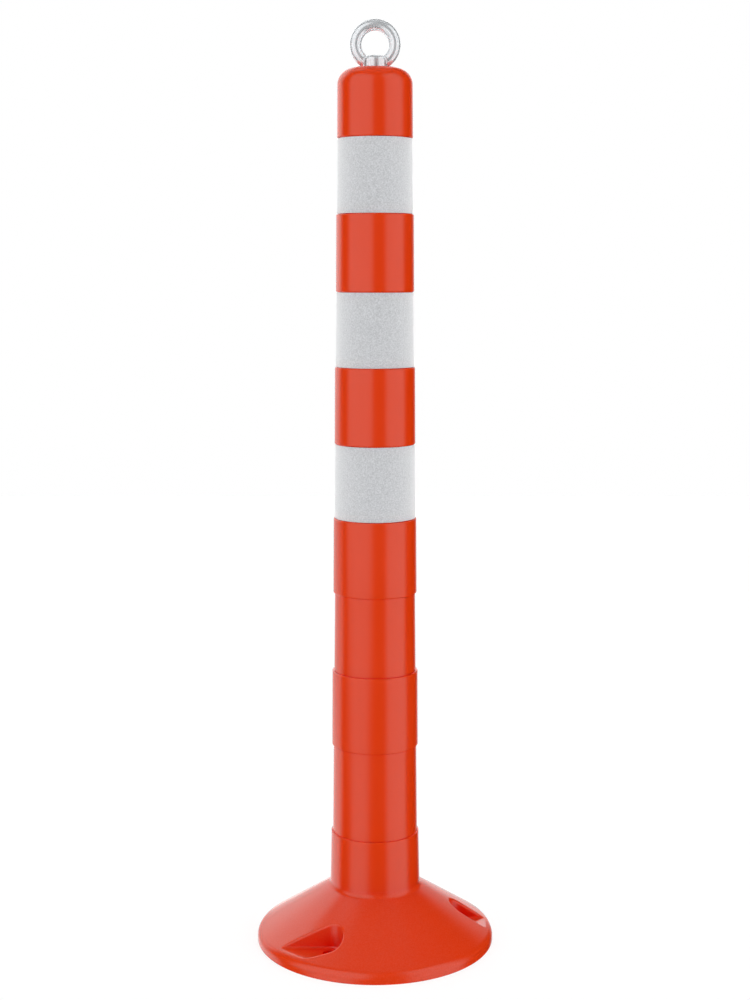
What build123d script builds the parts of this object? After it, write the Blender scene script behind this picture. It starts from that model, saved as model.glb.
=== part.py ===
from build123d import *
import os
from math import asin, cos, degrees, radians, sin, tan

# Flexible delineator post, in millimetres: a soft moulded post on a round cone foot, with
# reflective strips and an eye nut on its cap. Z is up, and the origin is the centre of the
# foot's underside. The mould opens along X, so the anchor pockets all run along X.

# Cone foot
foot_diameter = 204.2
foot_rim_height = 8.1            # where the cone's line meets the upright rim
foot_shoulder_radius = 8.0
foot_edge_radius = 0.8
cone_top_height = 48.7           # where the cone's line meets the collar
collar_fillet = 5.0
collar_top_height = 95.9
collar_draft = 1.1               # degrees

# Hollow, ribbed underside
flange_wall = 7.0                # measured upright, under the cone
rim_wall = 7.0
rib_count = 9
rib_thickness = 4.0

# Anchor pockets
pocket_count = 3
pocket_setback = 26.5            # from the foot's rim in to the anchor circle
pocket_width = 21.0
pocket_floor_height = 11.5
pocket_draft = 2.0               # degrees, of its walls
pocket_floor_radius = 2.0        # where the walls meet the floor
pocket_lip_radius = 2.2
pocket_wall = 5.0
anchor_hole_diameter = 12.0

# Tapered tube
post_top_diameter = 63.5         # the taper's diameter at the cap's top
post_draft = 0.55                # degrees, of the tube as a whole
band_draft = 0.3                 # degrees, of each raised band by itself
post_wall = 5.5                  # under a raised band
groove_depth = 1.5
band_edge_radius = 0.9
lower_groove_length = 75.5
middle_band_length = 65.0
upper_groove_length = 67.5
third_band_length = 64.5
film_groove_length = 64.0
orange_band_length = 65.5
cap_length = 58.6
cap_corner_radius = 14.0
cap_wall = 9.0

# Reflective strips
film_thickness = 0.35
film_bond_gap = 0.3              # adhesive under the strip
film_end_gap = 0.4               # to the groove's shoulder, at each end
film_seam_gap = 0.8              # butt joint at the back
film_seam_angle = 90.0           # degrees from X

# Eye nut and the bolt that carries it
eye_outer_diameter = 43.2
eye_inner_diameter = 24.1
eye_centre_above_cap = 19.6
eye_hub_diameter = 19.8
eye_hub_height = 9.5
eye_hub_edge_radius = 1.4
bolt_diameter = 10.0
bolt_head_flats = 16.0
bolt_head_height = 6.4
bolt_tip_below_hub = 0.8
bolt_tip_chamfer = 1.0
thread_clearance = 0.05          # radial, between the bolt and the eye nut
hole_clearance = 0.25            # radial, in the cap and the washers
backing_washer_diameter = 30.0
backing_washer_thickness = 2.5
spring_washer_diameter = 18.1
spring_washer_thickness = 2.2
spring_washer_slit = 1.5

# Heights that follow from the lengths
middle_low = collar_top_height + lower_groove_length
middle_high = middle_low + middle_band_length
upper_post_low = middle_high + upper_groove_length
third_band_high = upper_post_low + third_band_length
second_band_low = third_band_high + film_groove_length
second_band_high = second_band_low + orange_band_length
first_band_low = second_band_high + film_groove_length
first_band_high = first_band_low + orange_band_length
cap_low = first_band_high + film_groove_length
cap_top = cap_low + cap_length
cavity_top = cap_top - cap_wall
eye_centre_height = cap_top + eye_centre_above_cap
hub_top = cap_top + eye_hub_height
backing_washer_low = cavity_top - backing_washer_thickness
bolt_head_high = backing_washer_low - spring_washer_thickness
bolt_tip_height = hub_top - bolt_tip_below_hub

# Radii that follow from the diameters
foot_radius = foot_diameter / 2
pocket_circle_radius = foot_radius - pocket_setback
bolt_radius = bolt_diameter / 2
eye_tube_radius = (eye_outer_diameter - eye_inner_diameter) / 4
eye_mean_radius = (eye_outer_diameter + eye_inner_diameter) / 4


def envelope_radius(z):
    """Radius of the tube's overall taper at a height."""
    return post_top_diameter / 2 + (cap_top - z) * tan(radians(post_draft))


def groove_radius(z):
    """Radius of a recessed band's floor at a height."""
    return envelope_radius(z) - groove_depth


def bore_radius(z):
    """Radius of the tube's inside at a height."""
    return envelope_radius(z) - post_wall


def band_ends(low, high):
    """Lower and upper outer corners of a raised band that is on the overall taper at its middle."""
    radius = envelope_radius((low + high) / 2)
    lean = (high - low) / 2 * tan(radians(band_draft))
    return (radius + lean, low), (radius - lean, high)


def collar_radius(z):
    """Radius of the foot's collar at a height; it is on the overall taper at its middle."""
    middle = (cone_top_height + collar_top_height) / 2
    return envelope_radius(middle) + (middle - z) * tan(radians(collar_draft))


def corners(sketch, *points):
    """The sketch's vertices at these points."""
    return [sketch.vertices().sort_by_distance(Vector(*point))[0] for point in points]


cone_top_radius = collar_radius(cone_top_height)
cone_slope = (cone_top_height - foot_rim_height) / (foot_radius - cone_top_radius)
foot_top_height = cone_top_height + collar_fillet


def cone_height(radius):
    """Height of the cone's surface at a radius."""
    return cone_top_height - (radius - cone_top_radius) * cone_slope


# Each pocket's rounded inner end lies on the anchor circle, and its open end points along X.
anchor_points = []
pocket_headings = []
for i in range(pocket_count):
    angle = radians(360 / pocket_count * i)
    anchor_points.append((pocket_circle_radius * cos(angle), pocket_circle_radius * sin(angle)))
    pocket_headings.append(0 if cos(angle) > 0 else 180)


def pocket_outline(grow):
    """Draws the pockets' plan, grown by a wall, as slots from the anchor circle out past the rim."""
    for (x, y), heading in zip(anchor_points, pocket_headings):
        middle = x + foot_radius / 2 * cos(radians(heading))
        with Locations(Location((middle, y), heading)):
            SlotCenterToCenter(foot_radius, pocket_width + 2 * grow)


# Hollow under the foot: a ring-shaped space under the cone, divided by ribs and the pockets' pads
hollow_inner = envelope_radius(0)
hollow_outer = foot_radius - rim_wall
with BuildPart() as foot_hollow:
    with BuildSketch(Plane.XZ):
        with BuildLine():
            Polyline(
                (hollow_inner, 0),
                (hollow_outer, 0),
                (hollow_outer, cone_height(hollow_outer) - flange_wall),
                (hollow_inner, cone_height(hollow_inner) - flange_wall),
                close=True,
            )
        make_face()
    revolve(axis=Axis.Z)
    with BuildSketch():
        rib_length = hollow_outer - hollow_inner
        with PolarLocations((hollow_inner + hollow_outer) / 2, rib_count):
            Rectangle(2 * rib_length, rib_thickness)
        pocket_outline(pocket_wall)
    extrude(amount=cone_top_height, mode=Mode.SUBTRACT)

# Mould cores that leave the pockets: their walls lean outwards and their lower edges are rounded
with BuildPart() as pocket_cores:
    with BuildSketch(Plane.XY.offset(pocket_floor_height)):
        pocket_outline(0)
    extrude(amount=cone_top_height, taper=-pocket_draft)
    fillet(faces().filter_by(Axis.Z).group_by(Axis.Z)[0].edges(), pocket_floor_radius)

with BuildPart() as base_foot:
    with BuildSketch(Plane.XZ) as foot_profile:
        with BuildLine():
            Polyline(
                (bore_radius(0), 0),
                (foot_radius, 0),
                (foot_radius, foot_rim_height),
                (cone_top_radius, cone_top_height),
                (collar_radius(foot_top_height), foot_top_height),
                (bore_radius(foot_top_height), foot_top_height),
                close=True,
            )
        make_face()
        fillet(corners(foot_profile, (foot_radius, 0)), foot_edge_radius)
        fillet(corners(foot_profile, (foot_radius, foot_rim_height)), foot_shoulder_radius)
        fillet(corners(foot_profile, (cone_top_radius, cone_top_height)), collar_fillet)
    revolve(axis=Axis.Z)
    add(foot_hollow.part, mode=Mode.SUBTRACT)
    add(pocket_cores.part, mode=Mode.SUBTRACT)
    outer_cone = faces().filter_by(GeomType.CONE).sort_by(SortBy.AREA)[-1]
    fillet(outer_cone.edges().filter_by(GeomType.CIRCLE, reverse=True), pocket_lip_radius)
    with Locations(*[(x, y, pocket_floor_height) for x, y in anchor_points]):
        Hole(anchor_hole_diameter / 2)

with BuildPart() as foot_collar:
    with BuildSketch(Plane.XZ) as collar_profile:
        collar_corner = (collar_radius(collar_top_height), collar_top_height)
        with BuildLine():
            Polyline(
                (bore_radius(foot_top_height), foot_top_height),
                (collar_radius(foot_top_height), foot_top_height),
                collar_corner,
                (bore_radius(collar_top_height), collar_top_height),
                close=True,
            )
        make_face()
        fillet(corners(collar_profile, collar_corner), band_edge_radius)
    revolve(axis=Axis.Z)


def tube_ring(low, high):
    """A plain length of the tube, at the recessed bands' radius."""
    with BuildPart() as ring:
        with BuildSketch(Plane.XZ):
            with BuildLine():
                Polyline(
                    (bore_radius(low), low),
                    (groove_radius(low), low),
                    (groove_radius(high), high),
                    (bore_radius(high), high),
                    close=True,
                )
            make_face()
        revolve(axis=Axis.Z)
    return ring


lower_flex_ring = tube_ring(collar_top_height, middle_low)
upper_flex_ring = tube_ring(middle_high, upper_post_low)

with BuildPart() as middle_band:
    with BuildSketch(Plane.XZ) as middle_profile:
        ends = band_ends(middle_low, middle_high)
        with BuildLine():
            Polyline(
                (bore_radius(middle_low), middle_low),
                *ends,
                (bore_radius(middle_high), middle_high),
                close=True,
            )
        make_face()
        fillet(corners(middle_profile, *ends), band_edge_radius)
    revolve(axis=Axis.Z)

with BuildPart() as upper_post:
    with BuildSketch(Plane.XZ) as post_profile:
        third_band = band_ends(upper_post_low, third_band_high)
        second_band = band_ends(second_band_low, second_band_high)
        first_band = band_ends(first_band_low, first_band_high)
        cap_edge, cap_corner = band_ends(cap_low, cap_top)
        with BuildLine():
            Polyline(
                (bore_radius(upper_post_low), upper_post_low),
                *third_band,
                (groove_radius(third_band_high), third_band_high),
                (groove_radius(second_band_low), second_band_low),
                *second_band,
                (groove_radius(second_band_high), second_band_high),
                (groove_radius(first_band_low), first_band_low),
                *first_band,
                (groove_radius(first_band_high), first_band_high),
                (groove_radius(cap_low), cap_low),
                cap_edge,
                cap_corner,
                (0, cap_top),
                (0, cavity_top),
                (bore_radius(cavity_top), cavity_top),
                close=True,
            )
        make_face()
        raised_edges = (*third_band, *second_band, *first_band, cap_edge)
        fillet(corners(post_profile, *raised_edges), band_edge_radius)
        fillet(corners(post_profile, cap_corner), cap_corner_radius)
        fillet(corners(post_profile, (bore_radius(cavity_top), cavity_top)), cap_wall)
    revolve(axis=Axis.Z)
    with Locations((0, 0, cap_top)):
        Hole(bolt_radius + hole_clearance)


def film_strip(low, high):
    """A strip wrapped once round a recessed band, with its ends butted at the back."""
    start = low + film_end_gap
    end = high - film_end_gap
    gap_angle = degrees(film_seam_gap / groove_radius(low))
    with BuildPart() as strip:
        with BuildSketch(Plane.XZ.rotated((0, 0, film_seam_angle + gap_angle / 2))):
            with BuildLine():
                Polyline(
                    (groove_radius(start) + film_bond_gap, start),
                    (groove_radius(start) + film_bond_gap + film_thickness, start),
                    (groove_radius(end) + film_bond_gap + film_thickness, end),
                    (groove_radius(end) + film_bond_gap, end),
                    close=True,
                )
            make_face()
        revolve(axis=Axis.Z, revolution_arc=360 - gap_angle)
    return strip


reflective_band_bottom = film_strip(third_band_high, second_band_low)
reflective_band_middle = film_strip(second_band_high, first_band_low)
reflective_band_top = film_strip(first_band_high, cap_low)

with BuildPart() as eye_nut:
    with BuildSketch(Plane.XY.offset(eye_centre_height)):
        with Locations((eye_mean_radius, 0)):
            Circle(eye_tube_radius)
    revolve(axis=Axis((0, 0, eye_centre_height), (0, 1, 0)))
    split(bisect_by=Plane.XY.offset(cap_top), keep=Keep.TOP)
    with BuildSketch(Plane.XZ) as hub_profile:
        with BuildLine():
            Polyline(
                (0, cap_top),
                (eye_hub_diameter / 2, cap_top),
                (eye_hub_diameter / 2, hub_top),
                (0, hub_top),
                close=True,
            )
        make_face()
        fillet(corners(hub_profile, (eye_hub_diameter / 2, hub_top)), eye_hub_edge_radius)
    revolve(axis=Axis.Z)
    with BuildSketch(Plane.XY.offset(cap_top)):
        Circle(bolt_radius + thread_clearance)
    extrude(amount=eye_hub_height, mode=Mode.SUBTRACT)

with BuildPart() as eye_bolt:
    with BuildSketch(Plane.XY.offset(bolt_head_high)):
        RegularPolygon(bolt_head_flats / 2, 6, major_radius=False)
    extrude(amount=-bolt_head_height)
    with BuildSketch(Plane.XY.offset(bolt_head_high)):
        Circle(bolt_radius)
    extrude(amount=bolt_tip_height - bolt_head_high)
    chamfer(eye_bolt.faces().sort_by(Axis.Z)[-1].edges(), bolt_tip_chamfer)

with BuildPart() as backing_washer:
    with BuildSketch(Plane.XY.offset(backing_washer_low)):
        Circle(backing_washer_diameter / 2)
        Circle(bolt_radius + hole_clearance, mode=Mode.SUBTRACT)
    extrude(amount=backing_washer_thickness)

with BuildPart() as spring_washer:
    slit_angle = 2 * degrees(asin(spring_washer_slit / spring_washer_diameter))
    with BuildSketch(Plane.XZ):
        with BuildLine():
            Polyline(
                (bolt_radius + hole_clearance, bolt_head_high),
                (spring_washer_diameter / 2, bolt_head_high),
                (spring_washer_diameter / 2, backing_washer_low),
                (bolt_radius + hole_clearance, backing_washer_low),
                close=True,
            )
        make_face()
    revolve(axis=Axis.Z, revolution_arc=360 - slit_angle)

pieces = {
    "base_foot": base_foot,
    "foot_collar": foot_collar,
    "lower_flex_ring": lower_flex_ring,
    "middle_band": middle_band,
    "upper_flex_ring": upper_flex_ring,
    "upper_post": upper_post,
    "reflective_band_bottom": reflective_band_bottom,
    "reflective_band_middle": reflective_band_middle,
    "reflective_band_top": reflective_band_top,
    "eye_nut": eye_nut,
    "eye_bolt": eye_bolt,
    "backing_washer": backing_washer,
    "spring_washer": spring_washer,
}
os.makedirs("parts", exist_ok=True)
for name, piece in pieces.items():
    piece.part.label = name
    export_step(piece.part, f"parts/{name}.step")
    print(name, "volume", round(piece.part.volume), "mm3")
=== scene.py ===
# %% [markdown]
# # A flexible delineator post
# The real post is one soft orange moulding: a cone foot, a collar and a tapered tube with recessed
# bands. Three of the bands carry white reflective strips, and a zinc plated eye nut sits on the cap.
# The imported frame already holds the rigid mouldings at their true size, so they stay as they are and
# get a finish here. What bends, what is glued on and what is cast is modelled anew on top of the frame.

# %% Load the frame
import math

import bmesh
import bpy
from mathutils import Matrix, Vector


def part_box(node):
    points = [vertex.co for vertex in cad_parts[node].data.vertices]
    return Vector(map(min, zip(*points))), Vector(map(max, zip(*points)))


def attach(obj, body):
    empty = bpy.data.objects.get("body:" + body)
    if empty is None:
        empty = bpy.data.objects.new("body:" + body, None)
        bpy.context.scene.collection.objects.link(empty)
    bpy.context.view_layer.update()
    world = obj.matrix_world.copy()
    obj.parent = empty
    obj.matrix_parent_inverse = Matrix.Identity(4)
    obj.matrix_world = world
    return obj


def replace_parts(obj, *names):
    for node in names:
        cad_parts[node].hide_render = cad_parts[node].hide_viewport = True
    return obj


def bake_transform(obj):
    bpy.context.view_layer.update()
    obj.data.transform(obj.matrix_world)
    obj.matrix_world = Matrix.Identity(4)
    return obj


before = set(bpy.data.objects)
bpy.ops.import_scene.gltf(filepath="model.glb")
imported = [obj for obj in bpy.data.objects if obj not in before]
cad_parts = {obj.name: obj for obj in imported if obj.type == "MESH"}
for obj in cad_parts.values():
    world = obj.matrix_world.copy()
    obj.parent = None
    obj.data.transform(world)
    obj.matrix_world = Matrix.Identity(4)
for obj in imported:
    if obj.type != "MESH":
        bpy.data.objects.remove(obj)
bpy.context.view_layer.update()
scene = bpy.context.scene
print("CAD nodes:", ", ".join(sorted(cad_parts)))

# %% [markdown]
# ## Working as by hand
# Blender's operators act on whatever is selected, so every step starts from an empty selection. In edit
# mode the picks below choose vertices, edges or faces by where they lie, as a modeller would by eye.

# %% Selecting and shaping
def start_piece(name):
    """Names the primitive that was just added and puts its place into its mesh."""
    piece = bpy.context.object
    piece.name = name
    piece.data.name = name
    bpy.ops.object.transform_apply(location=True, rotation=True, scale=True)
    return piece


def nothing_selected():
    """Leaves no object selected."""
    bpy.ops.object.select_all(action="DESELECT")


def open_for_edit(piece, kind):
    """Opens a piece in edit mode, picking vertices, edges or faces, with nothing picked."""
    nothing_selected()
    piece.select_set(True)
    bpy.context.view_layer.objects.active = piece
    bpy.ops.object.mode_set(mode="EDIT")
    bpy.ops.mesh.select_mode(type=kind)
    bpy.ops.mesh.select_all(action="DESELECT")


def pick(piece, kind, test):
    """Picks the vertices, edges or faces that pass the test, in edit mode."""
    mesh = bmesh.from_edit_mesh(piece.data)
    for element in {"VERT": mesh.verts, "EDGE": mesh.edges, "FACE": mesh.faces}[kind]:
        if test(element):
            element.select_set(True)
    mesh.select_flush_mode()
    bmesh.update_edit_mesh(piece.data)


def close_edit():
    """Back to object mode."""
    bpy.ops.object.mode_set(mode="OBJECT")


def apply_modifier(piece, kind, **settings):
    """Adds a modifier to a piece and applies it at once."""
    nothing_selected()
    piece.select_set(True)
    bpy.context.view_layer.objects.active = piece
    modifier = piece.modifiers.new(kind.title(), kind)
    for setting, value in settings.items():
        setattr(modifier, setting, value)
    bpy.ops.object.modifier_apply(modifier=modifier.name)


def smooth_by_angle(piece, degrees=30):
    """Shades a piece smooth, with edges sharper than the angle kept crisp."""
    nothing_selected()
    piece.select_set(True)
    bpy.context.view_layer.objects.active = piece
    bpy.ops.object.shade_smooth_by_angle(angle=math.radians(degrees))


print("Helpers ready")

# %% [markdown]
# ## Sizes from the frame
# The tube's taper is read from the boxes of the two bare bands: each band's box is as wide as its
# lower end, so two boxes give the radius of every recessed band at any height.

# %% The tube's taper and its heights
lower_ring_low, lower_ring_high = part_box("lower_flex_ring")
upper_ring_low, upper_ring_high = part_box("upper_flex_ring")
taper = (lower_ring_high[0] - upper_ring_high[0]) / (upper_ring_low[2] - lower_ring_low[2])


def groove_radius(z):
    """Radius of a recessed band's floor at a height."""
    return lower_ring_high[0] - (z - lower_ring_low[2]) * taper


cap_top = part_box("upper_post")[1][2]
print(f"Draft {math.degrees(math.atan(taper)):.2f} degrees, cap top at {cap_top * 1000:.1f} mm")

# %% [markdown]
# ## The camera
# The photograph looks slightly down at the post from about 1.4 metres away, with its frame moved
# down to hold the foot. A vertical shift does that without tilting the camera further, which would
# make the post's sides converge more than they do.

# %% Camera
look_down = 4
camera_place = (0, -1.41456, 0.57937)
frame_shift = -0.1127

camera_data = bpy.data.cameras.new("photo_camera")
camera_data.lens = 59.76
camera_data.sensor_width = 36
camera_data.shift_y = frame_shift
camera = bpy.data.objects.new("photo_camera", camera_data)
camera.location = camera_place
camera.rotation_euler = (math.radians(90 - look_down), 0, 0)
scene.collection.objects.link(camera)
scene.camera = camera
scene.view_settings.view_transform = "Standard"
print("Camera looks", look_down, "degrees below the horizon")

# %% [markdown]
# ## Studio light
# In a white tent the light comes from everywhere, so the orange is even all round and nothing casts a
# hard shadow. The world's colour could light the post in the same way, but walls can be kept out of
# the gloss. So six area lights make the tent, and they light the surfaces without showing in them. The
# gloss keeps more of the light for itself where the tube turns away from the eye, so the walls to its
# left and right are a little brighter than the one in front. The world is only the white that the
# camera sees behind the floor.

# %% Light panels
studio_middle = 0.4


def light_panel(name, location, tilt, turn, width, height, radiance):
    """An area light of even brightness; tilt 0 shines down and tilt 90 shines level, towards the post."""
    data = bpy.data.lights.new(name, "AREA")
    data.shape = "RECTANGLE"
    data.size = width
    data.size_y = height
    data.energy = radiance * math.pi * width * height
    panel = bpy.data.objects.new(name, data)
    panel.location = location
    panel.rotation_euler = (math.radians(tilt), 0, math.radians(turn))
    panel.visible_camera = False
    scene.collection.objects.link(panel)
    return panel


def beside_post(turn, distance, height):
    """A place at a distance from the post, turned to the right from the camera's side, in degrees."""
    turn = math.radians(turn)
    return distance * math.sin(turn), -distance * math.cos(turn), studio_middle + height


print("Panels stand round a point", studio_middle, "m above the ground")

# %% White tent
tent_width = 6.0
front_wall_radiance = 0.98
side_wall_radiance = 1.06


def tent_wall(name, location, tilt, turn, radiance=1.0):
    """One wall of the tent, which lights matt colour but leaves gloss alone."""
    wall = light_panel("tent_" + name, location, tilt, turn, tent_width, tent_width, radiance)
    wall.visible_glossy = False
    wall.data.cycles.use_multiple_importance_sampling = False


tent_wall("front", beside_post(0, tent_width / 2, 0), 90, 0, front_wall_radiance)
tent_wall("right", beside_post(90, tent_width / 2, 0), 90, 90, side_wall_radiance)
tent_wall("back", beside_post(180, tent_width / 2, 0), 90, 180)
tent_wall("left", beside_post(270, tent_width / 2, 0), 90, 270, side_wall_radiance)
tent_wall("top", beside_post(0, 0, tent_width / 2), 0, 0)
tent_wall("bottom", beside_post(0, 0, -tent_width / 2), 180, 0)

backdrop = bpy.data.worlds.new("white_backdrop")
backdrop.use_nodes = True
backdrop.node_tree.nodes["Background"].inputs["Color"].default_value = (1, 1, 1, 1)
for ray in ("diffuse", "glossy", "transmission", "scatter"):
    setattr(backdrop.cycles_visibility, ray, False)
scene.world = backdrop
print("Tent of", tent_width, "m and a white backdrop")

# %% [markdown]
# ## Softboxes
# The stripes along the tube are reflections of tall softboxes. Light that leaves a mirror at an angle
# came in at the same angle, so each stripe gives away where its panel stood: its turn round the post
# comes from the stripe's place across the tube, and its rise from how far up the rounded cap it
# reaches. Low reflectors light the cone in the same way, and a faint fill in front lifts the dark line
# between the two stripes. The stripes fade at their edges, so each panel's brightness fades too, by
# nodes that measure how far a point is from the panel's edge.

# %% Softboxes
softbox_distance = 2.5
soft_edge = 22


def fade_edges(data, across, up):
    """Lets a panel's brightness fall to nothing over these shares of its width and height."""
    data.use_nodes = True
    tree = data.node_tree
    strength = tree.nodes["Emission"].inputs["Strength"]
    place = tree.nodes.new("ShaderNodeNewGeometry").outputs["Parametric"]
    split = tree.nodes.new("ShaderNodeSeparateXYZ")
    tree.links.new(place, split.inputs["Vector"])
    both = tree.nodes.new("ShaderNodeMath")
    both.operation = "MULTIPLY"
    for axis, share in enumerate((across, up)):
        to_edge = tree.nodes.new("ShaderNodeMath")
        to_edge.operation = "PINGPONG"
        to_edge.inputs[1].default_value = 0.5
        tree.links.new(split.outputs[axis], to_edge.inputs[0])
        fade = tree.nodes.new("ShaderNodeMapRange")
        fade.interpolation_type = "SMOOTHSTEP"
        fade.inputs["From Max"].default_value = share
        tree.links.new(to_edge.outputs["Value"], fade.inputs["Value"])
        tree.links.new(fade.outputs["Result"], both.inputs[axis])
    tree.links.new(both.outputs["Value"], strength)


def softbox(name, turns, rises, radiance):
    """An upright panel between two turns and two rises, in degrees, that shows only in gloss."""
    turn = sum(turns) / 2
    half_turn = math.radians(turns[1] - turns[0] + soft_edge) / 2
    width = 2 * softbox_distance * math.tan(half_turn)
    low = softbox_distance * math.tan(math.radians(rises[0] - soft_edge / 2))
    high = softbox_distance * math.tan(math.radians(rises[1] + soft_edge / 2))
    place = beside_post(turn, softbox_distance, (low + high) / 2)
    box = light_panel(name, place, 90, turn, width, high - low, radiance)
    box.visible_diffuse = False
    across = soft_edge / (turns[1] - turns[0] + soft_edge)
    fade_edges(box.data, across, soft_edge / (rises[1] - rises[0] + soft_edge))
    print(name, f"{width:.2f} x {high - low:.2f} m")


softbox("left_softbox", (-79, -10), (-19, 50), 0.85)
softbox("left_reflector", (-65, -20), (-36, -17), 0.85)
softbox("front_fill", (-9, 34), (-36, 50), 0.045)
softbox("right_softbox", (34, 90), (-36, 50), 0.8)
softbox("left_rear_softbox", (-190, -121), (-10, 41), 1.12)
softbox("left_rear_reflector", (-180, -107), (-36, -10), 1.0)
softbox("left_rear_top_softbox", (-152, -112), (34, 64), 0.62)
softbox("right_rear_softbox", (148, 190), (4, 30), 0.8)
softbox("right_rear_reflector", (155, 190), (-30, 4), 0.9)
softbox("right_top_softbox", (95, 150), (30, 64), 0.1)

ceiling_width = 2.0
ceiling_radiance = 0.17
ceiling = light_panel(
    "ceiling_softbox", beside_post(0, 0, softbox_distance), 0, 0,
    ceiling_width, ceiling_width, ceiling_radiance,
)
ceiling.visible_diffuse = False
print("Ceiling panel of", ceiling_width, "m")

# %% [markdown]
# ## The floor
# The photograph's ground is bright white with hardly a shadow. A floor that mostly glows and scatters a
# little stays white in the picture, and still darkens a touch where the foot stands on it.

# %% Floor
floor_width = 0.95 * tent_width
floor_grey = 0.2
floor_glow = 0.82

nothing_selected()
bpy.ops.mesh.primitive_plane_add(size=floor_width, location=(0, 0, 0))
floor = start_piece("studio_floor")
for ray in ("diffuse", "glossy", "transmission", "shadow"):
    setattr(floor, "visible_" + ray, False)
floor_finish = bpy.data.materials.new("pale_floor")
floor_finish.use_nodes = True
floor_shader = floor_finish.node_tree.nodes["Principled BSDF"]
floor_shader.inputs["Base Color"].default_value = (floor_grey, floor_grey, floor_grey, 1)
floor_shader.inputs["Roughness"].default_value = 1.0
floor_shader.inputs["Specular IOR Level"].default_value = 0.0
floor_shader.inputs["Emission Color"].default_value = (1, 1, 1, 1)
floor_shader.inputs["Emission Strength"].default_value = floor_glow
floor.data.materials.append(floor_finish)
print(f"Floor of {floor_width:.1f} m laid")

# %% [markdown]
# ## Finishes from nodes
# Every finish below is procedural: noise on Object coordinates, which are metres on the piece itself,
# goes through a ramp or a range into the shader. Small helpers keep each finish to a few lines.

# %% Node helpers
def new_finish(name):
    """A material with its node tree, its shader and its Object coordinates."""
    finish = bpy.data.materials.new(name)
    finish.use_nodes = True
    tree = finish.node_tree
    shader = tree.nodes["Principled BSDF"]
    place = tree.nodes.new("ShaderNodeTexCoord").outputs["Object"]
    return finish, tree, shader, place


def noise(tree, place, scale, detail=3.0):
    """Noise with a number of lumps per metre."""
    node = tree.nodes.new("ShaderNodeTexNoise")
    node.inputs["Scale"].default_value = scale
    node.inputs["Detail"].default_value = detail
    tree.links.new(place, node.inputs["Vector"])
    return node.outputs["Fac"]


def ramp(tree, value, stops):
    """Turns a value into colours, given as pairs of position and colour."""
    node = tree.nodes.new("ShaderNodeValToRGB")
    while len(node.color_ramp.elements) < len(stops):
        node.color_ramp.elements.new(1.0)
    for element, (position, colour) in zip(node.color_ramp.elements, stops):
        element.position = position
        element.color = (*colour, 1)
    tree.links.new(value, node.inputs["Fac"])
    return node.outputs["Color"]


def spread(tree, value, low, high, start=0.3, end=0.7):
    """Maps the middle of a noise to a range."""
    node = tree.nodes.new("ShaderNodeMapRange")
    node.inputs["From Min"].default_value = start
    node.inputs["From Max"].default_value = end
    node.inputs["To Min"].default_value = low
    node.inputs["To Max"].default_value = high
    tree.links.new(value, node.inputs["Value"])
    return node.outputs["Result"]


def bump(tree, shader, height, strength, distance):
    """Raises the shading of a surface by a height."""
    node = tree.nodes.new("ShaderNodeBump")
    node.inputs["Strength"].default_value = strength
    node.inputs["Distance"].default_value = distance
    tree.links.new(height, node.inputs["Height"])
    tree.links.new(node.outputs["Normal"], shader.inputs["Normal"])


print("Node helpers ready")

# %% [markdown]
# ## Orange elastomer
# The moulding is coloured through: a saturated orange-red with a satin skin. One plain colour would
# look like paint, so noise drifts the pigment, slowly on the tube and as a fine grain on the cone,
# where the mould was rougher. In a hollow, light goes from orange to orange before it comes out, and
# each step takes more of its green than of its red. So deep red is painted into the colour as shade:
# the Ambient Occlusion node, which measures how open a place is, mixes it into the anchor pockets,
# the creases at the band steps and the collar's root.
# The stripes on the real post add cool light and hardly any red, so the gloss is tinted against red,
# and a high index of refraction keeps it bright at the tube's sides.

# %% Elastomer finish
orange = (0.73, 0.0435, 0.0037)
# Painted shade: the deep red that pockets and creases are coloured with.
hollow_shade_red = (0.78, 0.005, 0.0003)
gloss_tint = (0.05, 1, 1)
hollow_reach = 0.04
hollow_openness, free_openness = 0.3, 0.9
satin_lumps, satin_low, satin_high = 60, 0.19, 0.22
skin_lumps, skin_strength, skin_relief = 1400, 0.05, 0.0002

# The Mix node has a set of sockets for each kind of data, and these are the ones for colour.
mix_colour_a, mix_colour_b, mix_colour_result = 6, 7, 2


def elastomer_finish(name, lumps, drift):
    """Orange elastomer whose colour drifts a little paler and deeper, in lumps per metre, with deep red
    painted in as shade where the surface is hemmed in.
    """
    finish, tree, shader, place = new_finish(name)
    deeper = [max(part - drift, 0) for part in orange]
    paler = [part + drift for part in orange]
    # Painted shade: where the Ambient Occlusion node finds the surface hemmed in, deep red replaces the
    # drifting orange in the colour.
    openness = tree.nodes.new("ShaderNodeAmbientOcclusion")
    openness.inputs["Distance"].default_value = hollow_reach
    pigment_with_shade = tree.nodes.new("ShaderNodeMix")
    pigment_with_shade.data_type = "RGBA"
    pigment_with_shade.inputs[mix_colour_a].default_value = (*hollow_shade_red, 1)
    drifting = ramp(tree, noise(tree, place, lumps), [(0.3, deeper), (0.7, paler)])
    tree.links.new(drifting, pigment_with_shade.inputs[mix_colour_b])
    free = spread(tree, openness.outputs["AO"], 0, 1, hollow_openness, free_openness)
    tree.links.new(free, pigment_with_shade.inputs["Factor"])
    tree.links.new(pigment_with_shade.outputs[mix_colour_result], shader.inputs["Base Color"])
    satin = spread(tree, noise(tree, place, satin_lumps), satin_low, satin_high)
    tree.links.new(satin, shader.inputs["Roughness"])
    bump(tree, shader, noise(tree, place, skin_lumps, 2), skin_strength, skin_relief)
    shader.inputs["IOR"].default_value = 1.75
    shader.inputs["Specular Tint"].default_value = (*gloss_tint, 1)
    print(name, "made")
    return finish


elastomer = elastomer_finish("orange_elastomer", 14, 0.0015)
grained_elastomer = elastomer_finish("grained_orange_elastomer", 900, 0.009)

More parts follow.
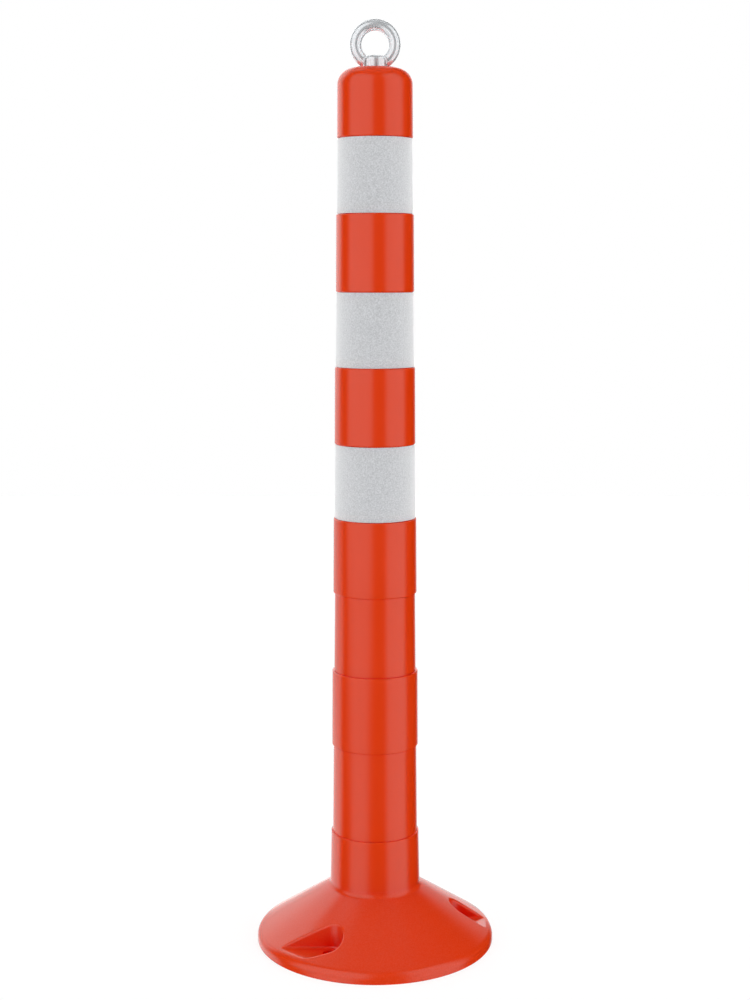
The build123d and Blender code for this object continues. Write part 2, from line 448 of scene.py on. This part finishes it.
# %% Dress the rigid mouldings
mouldings = {
    "base_foot": grained_elastomer,
    "foot_collar": elastomer,
    "middle_band": elastomer,
    "upper_post": elastomer,
}
for name, finish in mouldings.items():
    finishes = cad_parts[name].data.materials
    finishes.clear()
    finishes.append(finish)
    print(name, "dressed in", finish.name)

# %% [markdown]
# ## The bare bands that bend
# The two bare recessed bands are where the post kinks when a wheel hits it. A rigid piece would tear
# there, so each band is a sleeve with many rows of vertices, so that it could turn little by little from
# the body below to the body above; nothing in this script makes the rows turn. Each band has two hinges,
# one sideways and one fore and aft, so it is made as two sleeves, one for each hinge. A plain open cone
# gives the taper, a subdivision across its upright edges gives the rows, and Solidify gives the wall.

# %% Sleeves
sleeve_sides = 144
sleeve_rows = 28
sleeve_wall = 0.004


def is_upright(edge):
    """True for an edge that runs along the tube."""
    return abs(edge.verts[0].co.z - edge.verts[1].co.z) > 1e-6


def sleeve(name, low, high):
    """Half of a bare band: a thick-walled open cone between two heights, in many rows."""
    nothing_selected()
    bpy.ops.mesh.primitive_cone_add(
        vertices=sleeve_sides, radius1=groove_radius(low), radius2=groove_radius(high),
        depth=high - low, end_fill_type="NOTHING", location=(0, 0, (low + high) / 2),
    )
    piece = start_piece(name)
    open_for_edit(piece, "EDGE")
    pick(piece, "EDGE", is_upright)
    bpy.ops.mesh.subdivide(number_cuts=sleeve_rows - 1)
    close_edit()
    apply_modifier(piece, "SOLIDIFY", thickness=sleeve_wall, offset=-1)
    smooth_by_angle(piece)
    piece.data.materials.append(elastomer)
    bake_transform(piece)
    print(name, len(piece.data.polygons), "faces")
    return piece


def bare_band(label, node):
    """Both sleeves of a bare band, which together stand for its CAD node."""
    low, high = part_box(node)[0][2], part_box(node)[1][2]
    middle = (low + high) / 2
    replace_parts(sleeve(label + "_sway_sleeve", low, middle), node)
    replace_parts(sleeve(label + "_nod_sleeve", middle, high), node)


bare_band("lower", "lower_flex_ring")
bare_band("upper", "upper_flex_ring")

# %% [markdown]
# ## Reflective strips
# Each strip is a thin white film with fine glass beads, cut to length and wrapped once round its
# recessed band, with its ends butted at the back. A thin upright rectangle is the film's cross-section;
# spinning it almost once round the post wraps it, and leaves the little gap of the butt joint.

# %% Wrapped film
film_thickness = 0.00035
film_edge = 0.0001
seam_gap = 0.0008
seam_direction = math.radians(90)
film_steps = 180


def wrapped_film(name, node):
    """A strip wrapped round its band from one side of the butt joint to the other."""
    node_low, node_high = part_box(node)
    low, high = node_low[2], node_high[2]
    outer = node_high[0]
    half_gap = seam_gap / outer / 2
    nothing_selected()
    bpy.ops.mesh.primitive_plane_add(size=1, location=(outer - film_thickness / 2, 0, (low + high) / 2))
    piece = bpy.context.object
    piece.scale = (film_thickness, high - low, 1)
    piece.rotation_euler = (math.radians(90), 0, 0)
    start_piece(name)
    open_for_edit(piece, "VERT")
    pick(piece, "VERT", lambda v: v.co.z > (low + high) / 2)
    bpy.ops.transform.translate(value=((low - high) * taper, 0, 0))
    bpy.ops.mesh.select_all(action="SELECT")
    bpy.ops.transform.rotate(
        value=-(seam_direction + half_gap), orient_axis="Z", center_override=(0, 0, 0)
    )
    bpy.ops.mesh.spin(
        steps=film_steps, angle=2 * (math.pi - half_gap), center=(0, 0, 0), axis=(0, 0, 1)
    )
    bpy.ops.mesh.select_all(action="SELECT")
    bpy.ops.mesh.normals_make_consistent(inside=False)
    close_edit()
    apply_modifier(piece, "BEVEL", width=film_edge, segments=2, limit_method="ANGLE")
    smooth_by_angle(piece, 40)
    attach(piece, "upper")
    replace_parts(piece, node)
    print(name, len(piece.data.polygons), "faces")
    return piece


films = [
    wrapped_film("film_bottom", "reflective_band_bottom"),
    wrapped_film("film_middle", "reflective_band_middle"),
    wrapped_film("film_top", "reflective_band_top"),
]

# %% [markdown]
# ## Beaded film
# Glass beads under a clear skin give the film fine lighter and darker grains, and it gets brighter
# towards the sides, where the light grazes it. Noise makes the grains, cells the size of a few beads
# make the relief, and a strong, rough sheen brightens the sides from any viewing angle. The colour
# under the sheen is deeper than the film looks, because the sheen adds to it.

# %% Film finish
dark_grain = (0.306, 0.317, 0.338)
mean_grain = (0.431, 0.443, 0.466)
light_grain = (0.556, 0.569, 0.593)
grain_lumps = 900
skin_gloss_lumps, skin_gloss_low, skin_gloss_high = 300, 0.55, 0.7
bead_cells, bead_strength, bead_relief = 1500, 0.08, 0.0002

film, tree, shader, place = new_finish("beaded_film")
beads = tree.nodes.new("ShaderNodeTexVoronoi")
beads.inputs["Scale"].default_value = bead_cells
tree.links.new(place, beads.inputs["Vector"])
grain_tones = [(0.3, dark_grain), (0.5, mean_grain), (0.7, light_grain)]
tone = ramp(tree, noise(tree, place, grain_lumps, 2), grain_tones)
tree.links.new(tone, shader.inputs["Base Color"])
skin_gloss = spread(tree, noise(tree, place, skin_gloss_lumps), skin_gloss_low, skin_gloss_high)
tree.links.new(skin_gloss, shader.inputs["Roughness"])
bump(tree, shader, beads.outputs["Distance"], bead_strength, bead_relief)
shader.inputs["Specular IOR Level"].default_value = 0.15
shader.inputs["Sheen Weight"].default_value = 1.0
shader.inputs["Sheen Roughness"].default_value = 0.85
for piece in films:
    piece.data.materials.append(film)
print("Film finish on", len(films), "strips")

# %% [markdown]
# ## The eye nut
# A cast eye nut: a round ring that runs into a threaded hub. Ring and hub are simple bodies by
# themselves, and what makes the piece look cast is the soft run between them. So they are joined with
# a union, given an even skin by a voxel remesh, and smoothed, which rounds the inner corner as a
# casting's fillet does. The photograph's ring and hub are a little fuller than the frame's, and the hub
# has soft shoulders, so both grow by a named amount. The threaded bore is cut last and stays crisp.

# %% Ring and hub
eye_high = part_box("eye_nut")[1]
eye_outer_radius = eye_high[0]
eye_centre = eye_high[2] - eye_outer_radius
ring_growth = 0.0003
hub_growth = 0.0008
ring_tube_radius = 0.004775 + ring_growth
hub_radius = eye_high[1] + hub_growth
hub_height = 0.0095 + hub_growth
hub_shoulder = 0.0035

nothing_selected()
bpy.ops.mesh.primitive_torus_add(
    major_radius=eye_outer_radius - ring_tube_radius, minor_radius=ring_tube_radius,
    major_segments=160, minor_segments=48, location=(0, 0, eye_centre), rotation=(math.radians(90), 0, 0),
)
eye = start_piece("cast_eye_nut")
open_for_edit(eye, "FACE")
bpy.ops.mesh.select_all(action="SELECT")
bpy.ops.mesh.bisect(plane_co=(0, 0, cap_top), plane_no=(0, 0, 1), use_fill=True, clear_inner=True)
close_edit()

nothing_selected()
bpy.ops.mesh.primitive_cylinder_add(
    vertices=128, radius=hub_radius, depth=hub_height, location=(0, 0, cap_top + hub_height / 2)
)
hub = start_piece("eye_hub")
open_for_edit(hub, "EDGE")
pick(hub, "EDGE", lambda e: all(v.co.z > cap_top + hub_height - 1e-6 for v in e.verts))
bpy.ops.mesh.bevel(offset=hub_shoulder, segments=8)
close_edit()
apply_modifier(eye, "BOOLEAN", operation="UNION", object=hub, solver="EXACT")
bpy.data.objects.remove(hub)
print("Ring and hub joined:", len(eye.data.polygons), "faces")

# %% Cast fillets and the bore
voxel_width = 0.0003
smoothing_rounds = 10
bore_radius = 0.00505
bore_chamfer = 0.0008

apply_modifier(eye, "REMESH", mode="VOXEL", voxel_size=voxel_width, use_smooth_shade=True)
apply_modifier(eye, "SMOOTH", factor=0.5, iterations=smoothing_rounds)

nothing_selected()
bpy.ops.mesh.primitive_cylinder_add(
    vertices=96, radius=bore_radius, depth=hub_height,
    location=(0, 0, cap_top + hub_height / 2 - bore_chamfer),
)
core = start_piece("bore_core")
open_for_edit(core, "FACE")
pick(core, "FACE", lambda f: f.normal.z > 0.9)
bpy.ops.mesh.extrude_region_move(TRANSFORM_OT_translate={"value": (0, 0, 2 * bore_chamfer)})
widening = (bore_radius + 2 * bore_chamfer) / bore_radius
bpy.ops.transform.resize(value=(widening, widening, 1))
close_edit()
apply_modifier(eye, "BOOLEAN", operation="DIFFERENCE", object=core, solver="EXACT")
bpy.data.objects.remove(core)
smooth_by_angle(eye, 35)
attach(eye, "eye")
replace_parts(eye, "eye_nut")
print("Eye nut:", len(eye.data.polygons), "faces")

# %% [markdown]
# ## Zinc plate
# Bright zinc is a metal that is not quite a mirror: its fine crystals scatter part of the light, so
# it stays pale even where it reflects nothing bright. About half metal and half scattering gives that,
# with a cool tone, and noise in the colour and the gloss for the cloudiness of the plate.

# %% Zinc finish
dull_zinc = (0.92, 0.95, 0.975)
clear_zinc = (0.94, 0.97, 0.995)
metal_share = 0.56
cloud_lumps = 220
polish_lumps, polish_low, polish_high = 500, 0.06, 0.09

zinc, tree, shader, place = new_finish("bright_zinc")
plate = ramp(tree, noise(tree, place, cloud_lumps, 4), [(0.3, dull_zinc), (0.7, clear_zinc)])
tree.links.new(plate, shader.inputs["Base Color"])
polish = spread(tree, noise(tree, place, polish_lumps), polish_low, polish_high)
tree.links.new(polish, shader.inputs["Roughness"])
shader.inputs["Metallic"].default_value = metal_share
eye.data.materials.clear()
eye.data.materials.append(zinc)
for name in ("eye_bolt", "backing_washer", "spring_washer"):
    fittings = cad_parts[name].data.materials
    fittings.clear()
    fittings.append(zinc)
    print(name, "plated")
